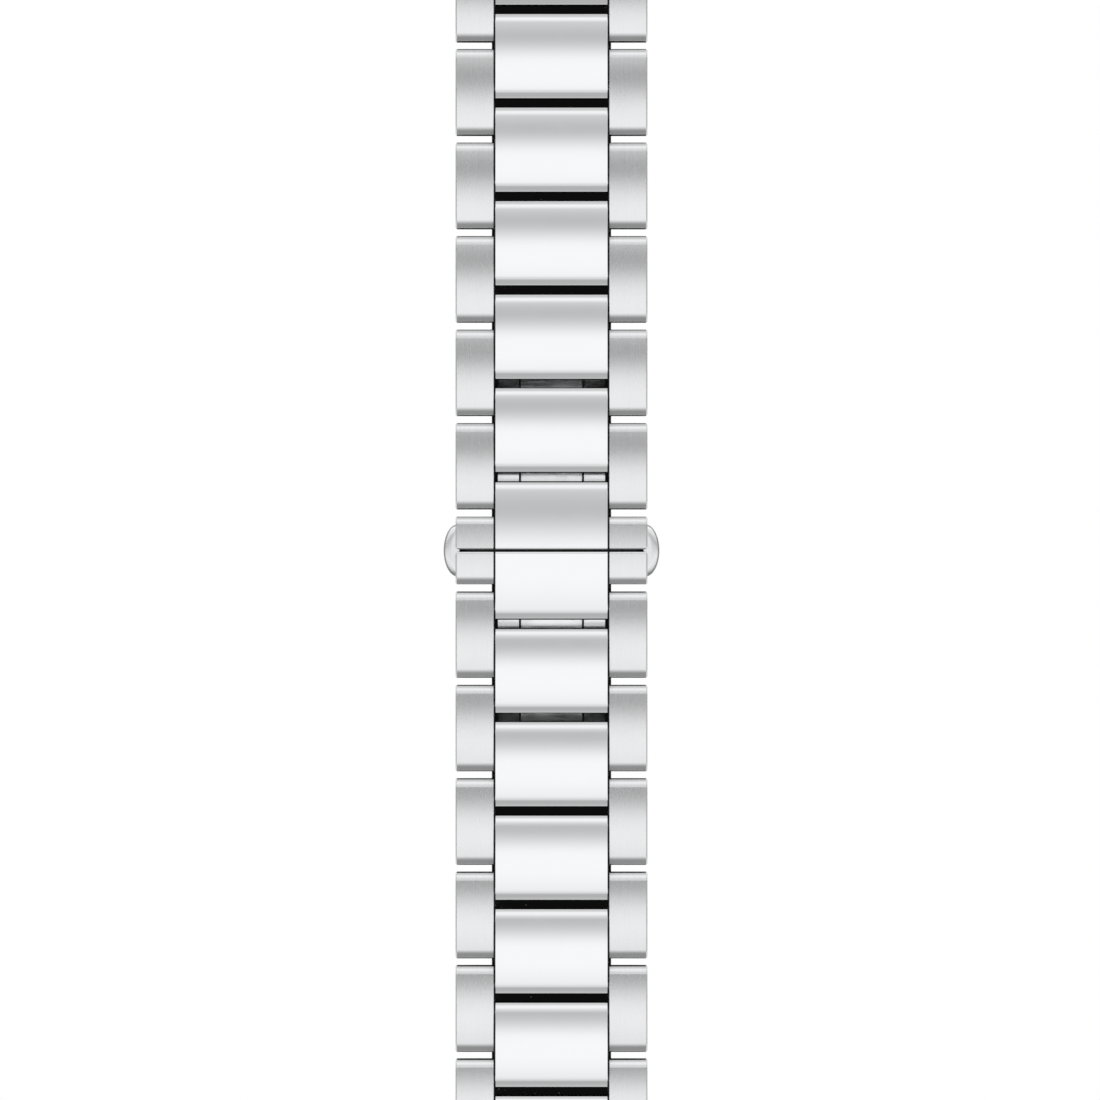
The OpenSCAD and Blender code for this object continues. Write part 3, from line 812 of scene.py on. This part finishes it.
def steel(name, colour, gloss, contrast, lines, spread, haze, scratches, relief, mapped=True):
    """A steel finish. spread is the anisotropy, relief the depth of the grain in millimetres.
    A mapped piece gets painted shade on its marked faces; on the others shade is painted into every crevice."""
    material = bpy.data.materials.new(name)
    material.use_nodes = True
    tree = material.node_tree
    shader = tree.nodes["Principled BSDF"]
    shader.inputs["Metallic"].default_value = 1.0
    shader.inputs["Anisotropic"].default_value = spread
    if mapped:
        source = tree.nodes.new("ShaderNodeUVMap")
        source.uv_map = GRAIN_MAP
        vector = source.outputs[0]
        tangent = tree.nodes.new("ShaderNodeTangent")
        tangent.direction_type, tangent.uv_map = "UV_MAP", GRAIN_MAP
        if spread > 0:
            tree.links.new(tangent.outputs[0], shader.inputs["Tangent"])
    else:
        source = tree.nodes.new("ShaderNodeTexCoord")
        millimetres = tree.nodes.new("ShaderNodeVectorMath")
        millimetres.operation = "SCALE"
        millimetres.inputs["Scale"].default_value = 1 / MM
        tree.links.new(source.outputs["Object"], millimetres.inputs[0])
        vector = millimetres.outputs[0]
    grain = group_node(tree, grain_group, vector, Contrast=contrast, Lines_per_mm=lines)
    marks = group_node(tree, marks_group, vector, Haze=haze, Scratches=scratches)
    tint = tree.nodes.new("ShaderNodeMix")
    tint.data_type, tint.blend_type = "RGBA", "MULTIPLY"
    tint.inputs["Factor"].default_value = 1.0
    tint.inputs["A"].default_value = (*colour, 1.0)
    # The painted shade comes from the marked faces, or on unmapped pieces from how little sky a spot sees.
    if mapped:
        attribute = tree.nodes.new("ShaderNodeAttribute")
        attribute.attribute_name = PAINTED_SHADE_LAYER
        walls = attribute.outputs["Fac"]
    else:
        opened = tree.nodes.new("ShaderNodeAmbientOcclusion")
        opened.samples = CREVICE_RAYS
        opened.inputs["Distance"].default_value = CREVICE * MM
        walls = map_range(tree, opened.outputs["AO"], *CREVICE_SKY, 1.0, 0.0)
    # Shade is painted into the colour here: marked faces and crevices are darkened.
    left_after_painted_shade = math_node(tree, "SUBTRACT", 1.0, math_node(tree, "MULTIPLY", walls, PAINTED_SHADE_DEPTH))
    tree.links.new(math_node(tree, "MULTIPLY", grain.outputs["Tone"], left_after_painted_shade), tint.inputs["B"])
    tree.links.new(tint.outputs["Result"], shader.inputs["Base Color"])
    matt_walls = math_node(tree, "MULTIPLY", walls, WALL_ROUGHNESS)
    rough = math_node(tree, "ADD", marks.outputs["Roughening"], gloss)
    rough = math_node(tree, "ADD", rough, matt_walls)
    swing = math_node(tree, "SUBTRACT", grain.outputs["Tone"], 1.0)
    uneven = math_node(tree, "MULTIPLY", swing, GRAIN_ROUGHNESS)
    tree.links.new(math_node(tree, "ADD", rough, uneven, clamp=True), shader.inputs["Roughness"])
    bump = tree.nodes.new("ShaderNodeBump")
    bump.inputs["Distance"].default_value = relief * MM
    height = math_node(tree, "ADD", grain.outputs["Height"], marks.outputs["Height"])
    tree.links.new(height, bump.inputs["Height"])
    tree.links.new(bump.outputs[0], shader.inputs["Normal"])
    return material


# %% The six steels
LOOKS = {
    "polished_steel": dict(
        colour=(0.86, 0.865, 0.87), gloss=0.08, contrast=0.0, lines=9, spread=0.0,
        haze=0.1, scratches=0.3, relief=0.0004),
    "brushed_steel": dict(
        colour=(0.78, 0.785, 0.79), gloss=0.26, contrast=0.16, lines=9, spread=0.95,
        haze=0.05, scratches=0.0, relief=0.002),
    "clasp_steel": dict(
        colour=(0.88, 0.885, 0.89), gloss=0.16, contrast=0.08, lines=7, spread=0.0,
        haze=0.3, scratches=0.6, relief=0.001, mapped=False),
    "pin_steel": dict(
        colour=(0.66, 0.665, 0.67), gloss=0.3, contrast=0.15, lines=12, spread=0.0,
        haze=0.2, scratches=0.2, relief=0.002, mapped=False),
    "spring_steel": dict(
        colour=(0.6, 0.6, 0.61), gloss=0.24, contrast=0.1, lines=14, spread=0.0,
        haze=0.1, scratches=0.0, relief=0.001, mapped=False),
    "polished_steel_buttons": dict(
        colour=(0.82, 0.825, 0.83), gloss=0.24, contrast=0.0, lines=9, spread=0.0,
        haze=0.1, scratches=0.3, relief=0.0004),
}
finishes = {name: steel(name, **look) for name, look in LOOKS.items()}
print("finishes:", ", ".join(finishes))

# %% Give every piece its finish
for piece, slot in made:
    finish = "polished_steel_buttons" if piece.name.startswith("button") else slot
    piece.data.materials.clear()
    piece.data.materials.append(finishes[finish])
slots = {part["node"]: part["material_slot"] for part in frame["record"]["subparts"]}
for name, node in frame["nodes"].items():
    for spot in node.material_slots:
        spot.material = finishes[slots[name]]
print(len(made), "own pieces,", len(frame["nodes"]), "CAD nodes")

# %% [markdown]
# ## Floor and studio light
# The bracelet lies on a plain white floor. To the eye and to the mirrors of the steel the open
# floor is white, and it falls off to a dark contact shadow only where the bracelet covers it. How
# much of the sky a spot of floor still sees tells the two apart: to the eye it is white above a
# seventh of the sky. The steel sees the shadow wider and softer than the eye does. The strip under
# the centre column is drawn deeper for the eye, because the gaps there are black in the picture
# although they let in as much sky as the gaps at the edge.

# %% Floor
FLOOR_HALF = 160.0
FLOOR_DROP = 0.02
PAPER_TONE = 0.85
SHADOW_REACH = 25.0
EYE_SKY = (0.06, 0.14)
STEEL_SKY = (0.3, 0.95)
BLACKEST = 0.004
OPEN_FLOOR = 0.999
QUICK_RAYS = 4
FULL_RAYS = 48
MIDDLE_HALF = CENTRE_HALF + 0.3
MIDDLE_FADE = 0.15
MIDDLE_DEPTH = 0.25

far = FLOOR_HALF * MM
corners = [(-far, -far, 0), (far, -far, 0), (far, far, 0), (-far, far, 0)]
floor_mesh = bpy.data.meshes.new("floor")
floor_mesh.from_pydata(corners, [], [(0, 1, 2, 3)])
floor = bpy.data.objects.new("floor", floor_mesh)
floor.location.z = -FLOOR_DROP * MM
bpy.context.scene.collection.objects.link(floor)

paper = bpy.data.materials.new("white_paper")
paper.use_nodes = True
tree = paper.node_tree
tree.nodes.clear()


def sky_share(samples):
    """How much of the sky a spot of floor still sees, found with this many rays."""
    node = tree.nodes.new("ShaderNodeAmbientOcclusion")
    node.samples = samples
    node.inputs["Distance"].default_value = SHADOW_REACH * MM
    return node.outputs["AO"]


def mixed(tree, factor, first, second):
    """Two shaders mixed by a factor."""
    node = tree.nodes.new("ShaderNodeMixShader")
    tree.links.new(factor, node.inputs[0])
    tree.links.new(first, node.inputs[1])
    tree.links.new(second, node.inputs[2])
    return node.outputs[0]


def glow(strength):
    """White light of a strength that is a number or a socket."""
    node = tree.nodes.new("ShaderNodeEmission")
    if isinstance(strength, bpy.types.NodeSocket):
        tree.links.new(strength, node.inputs["Strength"])
    else:
        node.inputs["Strength"].default_value = strength
    return node.outputs[0]


matt = tree.nodes.new("ShaderNodeBsdfDiffuse")
matt.inputs["Color"].default_value = (PAPER_TONE, PAPER_TONE, PAPER_TONE, 1)
covered = math_node(tree, "LESS_THAN", sky_share(QUICK_RAYS), OPEN_FLOOR)
ray = tree.nodes.new("ShaderNodeLightPath")
sky = sky_share(FULL_RAYS)
on_floor = tree.nodes.new("ShaderNodeTexCoord")
floor_axis = tree.nodes.new("ShaderNodeSeparateXYZ")
tree.links.new(on_floor.outputs["Object"], floor_axis.inputs[0])
from_middle = math_node(tree, "ABSOLUTE", floor_axis.outputs["X"])
fade = (MIDDLE_HALF * MM, (MIDDLE_HALF + MIDDLE_FADE) * MM)
deeper = map_range(tree, from_middle, *fade, MIDDLE_DEPTH, 0.0)
sky_to_eye = math_node(tree, "SUBTRACT", sky, deeper)
to_eye = glow(map_range(tree, sky_to_eye, *EYE_SKY, BLACKEST, 1.0))
to_steel = glow(map_range(tree, sky, *STEEL_SKY, BLACKEST, 1.0))
shadow = mixed(tree, ray.outputs["Is Camera Ray"], to_steel, to_eye)
looked_at = mixed(tree, covered, glow(1.0), shadow)
seen = math_node(tree, "MAXIMUM", ray.outputs["Is Camera Ray"], ray.outputs["Is Glossy Ray"])
surface = tree.nodes.new("ShaderNodeOutputMaterial")
tree.links.new(mixed(tree, seen, matt.outputs[0], looked_at), surface.inputs["Surface"])
floor_mesh.materials.append(paper)
print("floor", round(2 * FLOOR_HALF), "mm wide")

# %% [markdown]
# The light is one large soft dome. Polished steel has no colour of its own to show, only what it
# mirrors, so the dome carries the soft dark band that a photographer leaves between two light
# boxes. The polished crowns mirror the strip of the dome that runs along the bracelet. The brushed
# crowns spread their reflection far to both sides, where the same band is darker and sharper.
# Low down at both sides the studio is dark, and that is what draws the thin dark outlines. The
# two angles are measured to the half vector, which is where a brushed surface spreads its light:
# a band of constant angle then stays one sharp band in the grain, however far it is spread.

# %% How bright the dome is
# Each pair is a turning point: an angle from the zenith towards the bracelet's upper end, in
# degrees, and the shade between 0 and 1 that steel shows when it mirrors the dome there. The
# dome eases from each point to the next. The steel's own tone is divided out further down.
POLISHED_TONE = 0.86
BRUSHED_TONE = 0.78
STRIP = [(-120, 0.45), (-85, 0.74), (-72, 0.75), (-60, 0.69), (-47, 0.69), (-33, 0.85), (-6, 0.97),
         (-0.5, 0.968), (12.3, 0.73), (19, 0.8), (53, 0.955), (66, 0.79), (110, 0.6)]
SIDES_OF_STRIP = [(-104, 0.4), (-70, 0.47), (-42, 0.5), (-16, 0.84), (-5, 0.965), (-1, 0.93),
                  (6.3, 0.27), (7.8, 0.27), (12.8, 0.9), (26, 0.87), (50, 0.98), (66, 0.78),
                  (104, 0.6)]
LOW_SIDES = 0.36
STRIP_EDGE = (2.5, 6)
LOW_SIDES_EDGE = (26, 44)
BLUER = 1.005


# %% The dome of light
def linear(shown):
    """Light that a display value between 0 and 1 stands for."""
    return ((shown + 0.055) / 1.055) ** 2.4


world = bpy.data.worlds.new("soft_dome")
bpy.context.scene.world = world
world.use_nodes = True
tree = world.node_tree
direction = tree.nodes.new("ShaderNodeTexCoord")
axis = tree.nodes.new("ShaderNodeSeparateXYZ")
tree.links.new(direction.outputs["Generated"], axis.inputs[0])
above = math_node(tree, "ADD", axis.outputs["Z"], 1.0)
along = math_node(tree, "ARCTAN2", axis.outputs["Y"], above)
aside = math_node(tree, "ARCTAN2", math_node(tree, "ABSOLUTE", axis.outputs["X"]), above)
spot = math_node(tree, "MULTIPLY_ADD", along, 1 / math.pi, 0.5, clamp=True)


def dome_ramp(table, tone):
    """The dome's brightness by angle. The tone of the steel is divided out, so that it shows as given."""
    ramp = tree.nodes.new("ShaderNodeValToRGB")
    tree.links.new(spot, ramp.inputs[0])
    ramp.color_ramp.interpolation = "EASE"
    stops = ramp.color_ramp.elements
    while len(stops) < len(table):
        stops.new(0.5)
    for stop, (degrees, shown) in zip(stops, table):
        stop.position = degrees / 360 + 0.5
        level = linear(shown) / tone
        stop.color = (level, level, level * BLUER, 1)
    return ramp.outputs["Color"]


def blend(factor, first, second):
    """Two colours mixed by a factor. The colours are values or sockets."""
    node = tree.nodes.new("ShaderNodeMix")
    node.data_type = "RGBA"
    tree.links.new(factor, node.inputs["Factor"])
    for value, socket in ((first, node.inputs["A"]), (second, node.inputs["B"])):
        if isinstance(value, bpy.types.NodeSocket):
            tree.links.new(value, socket)
        else:
            socket.default_value = value
    return node.outputs["Result"]


strip = dome_ramp(STRIP, POLISHED_TONE)
beside = dome_ramp(SIDES_OF_STRIP, BRUSHED_TONE)
past_strip = map_range(tree, aside, *[math.radians(degrees) for degrees in STRIP_EDGE])
overhead = blend(past_strip, strip, beside)
low_down = map_range(tree, aside, *[math.radians(degrees) for degrees in LOW_SIDES_EDGE])
low = linear(LOW_SIDES)
studio = blend(low_down, overhead, (low, low, low, 1))
backdrop = tree.nodes["Background"]
ray = tree.nodes.new("ShaderNodeLightPath")
tree.links.new(blend(ray.outputs["Is Camera Ray"], studio, (1, 1, 1, 1)), backdrop.inputs["Color"])

bpy.context.scene.view_settings.view_transform = "Standard"
print("dome with", len(STRIP), "turning points over the strip and", len(SIDES_OF_STRIP), "beside it")
